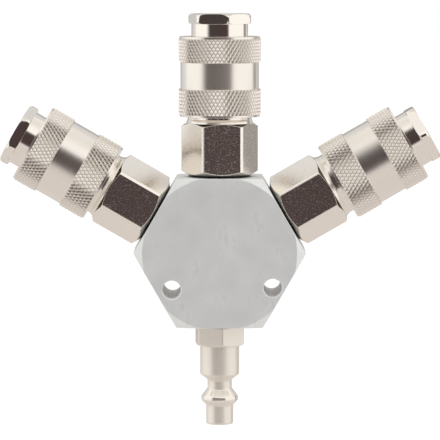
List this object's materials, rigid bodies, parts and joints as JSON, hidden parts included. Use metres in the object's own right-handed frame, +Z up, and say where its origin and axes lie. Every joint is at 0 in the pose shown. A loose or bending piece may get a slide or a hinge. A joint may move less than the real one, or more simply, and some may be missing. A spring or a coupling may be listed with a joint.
{
  "type": "air manifold block",
  "caption": "Hexagonal aluminium air manifold with spring-loaded quick couplers on its upper flats, an inlet plug below and screw holes for fixing to a wall.",
  "frame": {"origin": "centre of the hexagonal block's flat rear face, the one that goes against a wall", "axes": "+Y out of the rear face towards the wall, +Z up along the top coupler, +X to the right seen from the front"},
  "size_m": [0.1425, 0.027, 0.1334],
  "materials": {
    "block": "satin, fine turned and milled face",
    "plug": "bright nickel plate",
    "nickel": "bright nickel plate",
    "steel": "polished",
    "rubber": "matt",
    "fibre": "matt"
  },
  "bodies": {
    "manifold": {"manifold_block": "block", "inlet_plug": "plug", "top_nipple": "nickel", "top_body": "nickel", "top_gasket": "fibre", "top_socket": "nickel", "top_plug_seal": "rubber", "top_sleeve_spring": "steel", "top_stop_ring": "steel", "top_valve_spring": "steel", "left_nipple": "nickel", "left_body": "nickel", "left_gasket": "fibre", "left_socket": "nickel", "left_plug_seal": "rubber", "left_sleeve_spring": "steel", "left_stop_ring": "steel", "left_valve_spring": "steel", "right_nipple": "nickel", "right_body": "nickel", "right_gasket": "fibre", "right_socket": "nickel", "right_plug_seal": "rubber", "right_sleeve_spring": "steel", "right_stop_ring": "steel", "right_valve_spring": "steel"},
    "top_sleeve": {"top_sleeve": "nickel"},
    "top_valve": {"top_valve": "nickel", "top_valve_washer": "rubber"},
    "top_ball_1": {"top_ball_1": "steel"},
    "top_ball_2": {"top_ball_2": "steel"},
    "top_ball_3": {"top_ball_3": "steel"},
    "top_ball_4": {"top_ball_4": "steel"},
    "left_sleeve": {"left_sleeve": "nickel"},
    "left_valve": {"left_valve": "nickel", "left_valve_washer": "rubber"},
    "left_ball_1": {"left_ball_1": "steel"},
    "left_ball_2": {"left_ball_2": "steel"},
    "left_ball_3": {"left_ball_3": "steel"},
    "left_ball_4": {"left_ball_4": "steel"},
    "right_sleeve": {"right_sleeve": "nickel"},
    "right_valve": {"right_valve": "nickel", "right_valve_washer": "rubber"},
    "right_ball_1": {"right_ball_1": "steel"},
    "right_ball_2": {"right_ball_2": "steel"},
    "right_ball_3": {"right_ball_3": "steel"},
    "right_ball_4": {"right_ball_4": "steel"}
  },
  "joints": [
    {"name": "top_sleeve_slide", "type": "slide", "parent": "manifold", "child": "top_sleeve", "axis": [0, 0, -1], "range_m": [0, 0.002], "stiffness_N_per_m": 1500, "springref_m": -0.004, "deforming": ["top_sleeve_spring"]},
    {"name": "top_ball_1_slide", "type": "slide", "parent": "manifold", "child": "top_ball_1", "axis": [0.7071, 0.7071, 0], "range_m": [0, 0.0009]},
    {"name": "top_ball_2_slide", "type": "slide", "parent": "manifold", "child": "top_ball_2", "axis": [-0.7071, 0.7071, 0], "range_m": [0, 0.0009]},
    {"name": "top_ball_3_slide", "type": "slide", "parent": "manifold", "child": "top_ball_3", "axis": [-0.7071, -0.7071, 0], "range_m": [0, 0.0009]},
    {"name": "top_ball_4_slide", "type": "slide", "parent": "manifold", "child": "top_ball_4", "axis": [0.7071, -0.7071, 0], "range_m": [0, 0.0009]},
    {"name": "top_valve_slide", "type": "slide", "parent": "manifold", "child": "top_valve", "axis": [0, 0, -1], "range_m": [0, 0.0035], "stiffness_N_per_m": 150, "springref_m": -0.005, "deforming": ["top_valve_spring"]},
    {"name": "left_sleeve_slide", "type": "slide", "parent": "manifold", "child": "left_sleeve", "axis": [0.866, 0, -0.5], "range_m": [0, 0.002], "stiffness_N_per_m": 1500, "springref_m": -0.004, "deforming": ["left_sleeve_spring"]},
    {"name": "left_ball_1_slide", "type": "slide", "parent": "manifold", "child": "left_ball_1", "axis": [0.3536, 0.7071, 0.6124], "range_m": [0, 0.0009]},
    {"name": "left_ball_2_slide", "type": "slide", "parent": "manifold", "child": "left_ball_2", "axis": [-0.3536, 0.7071, -0.6124], "range_m": [0, 0.0009]},
    {"name": "left_ball_3_slide", "type": "slide", "parent": "manifold", "child": "left_ball_3", "axis": [-0.3536, -0.7071, -0.6124], "range_m": [0, 0.0009]},
    {"name": "left_ball_4_slide", "type": "slide", "parent": "manifold", "child": "left_ball_4", "axis": [0.3536, -0.7071, 0.6124], "range_m": [0, 0.0009]},
    {"name": "left_valve_slide", "type": "slide", "parent": "manifold", "child": "left_valve", "axis": [0.866, 0, -0.5], "range_m": [0, 0.0035], "stiffness_N_per_m": 150, "springref_m": -0.005, "deforming": ["left_valve_spring"]},
    {"name": "right_sleeve_slide", "type": "slide", "parent": "manifold", "child": "right_sleeve", "axis": [-0.866, 0, -0.5], "range_m": [0, 0.002], "stiffness_N_per_m": 1500, "springref_m": -0.004, "deforming": ["right_sleeve_spring"]},
    {"name": "right_ball_1_slide", "type": "slide", "parent": "manifold", "child": "right_ball_1", "axis": [0.3536, 0.7071, -0.6124], "range_m": [0, 0.0009]},
    {"name": "right_ball_2_slide", "type": "slide", "parent": "manifold", "child": "right_ball_2", "axis": [-0.3536, 0.7071, 0.6124], "range_m": [0, 0.0009]},
    {"name": "right_ball_3_slide", "type": "slide", "parent": "manifold", "child": "right_ball_3", "axis": [-0.3536, -0.7071, 0.6124], "range_m": [0, 0.0009]},
    {"name": "right_ball_4_slide", "type": "slide", "parent": "manifold", "child": "right_ball_4", "axis": [0.3536, -0.7071, -0.6124], "range_m": [0, 0.0009]},
    {"name": "right_valve_slide", "type": "slide", "parent": "manifold", "child": "right_valve", "axis": [-0.866, 0, -0.5], "range_m": [0, 0.0035], "stiffness_N_per_m": 150, "springref_m": -0.005, "deforming": ["right_valve_spring"]}
  ],
  "couplings": [
    {"joint": "top_ball_1_slide", "follows": "top_sleeve_slide", "ratio": 0.45},
    {"joint": "top_ball_2_slide", "follows": "top_sleeve_slide", "ratio": 0.45},
    {"joint": "top_ball_3_slide", "follows": "top_sleeve_slide", "ratio": 0.45},
    {"joint": "top_ball_4_slide", "follows": "top_sleeve_slide", "ratio": 0.45},
    {"joint": "left_ball_1_slide", "follows": "left_sleeve_slide", "ratio": 0.45},
    {"joint": "left_ball_2_slide", "follows": "left_sleeve_slide", "ratio": 0.45},
    {"joint": "left_ball_3_slide", "follows": "left_sleeve_slide", "ratio": 0.45},
    {"joint": "left_ball_4_slide", "follows": "left_sleeve_slide", "ratio": 0.45},
    {"joint": "right_ball_1_slide", "follows": "right_sleeve_slide", "ratio": 0.45},
    {"joint": "right_ball_2_slide", "follows": "right_sleeve_slide", "ratio": 0.45},
    {"joint": "right_ball_3_slide", "follows": "right_sleeve_slide", "ratio": 0.45},
    {"joint": "right_ball_4_slide", "follows": "right_sleeve_slide", "ratio": 0.45}
  ]
}
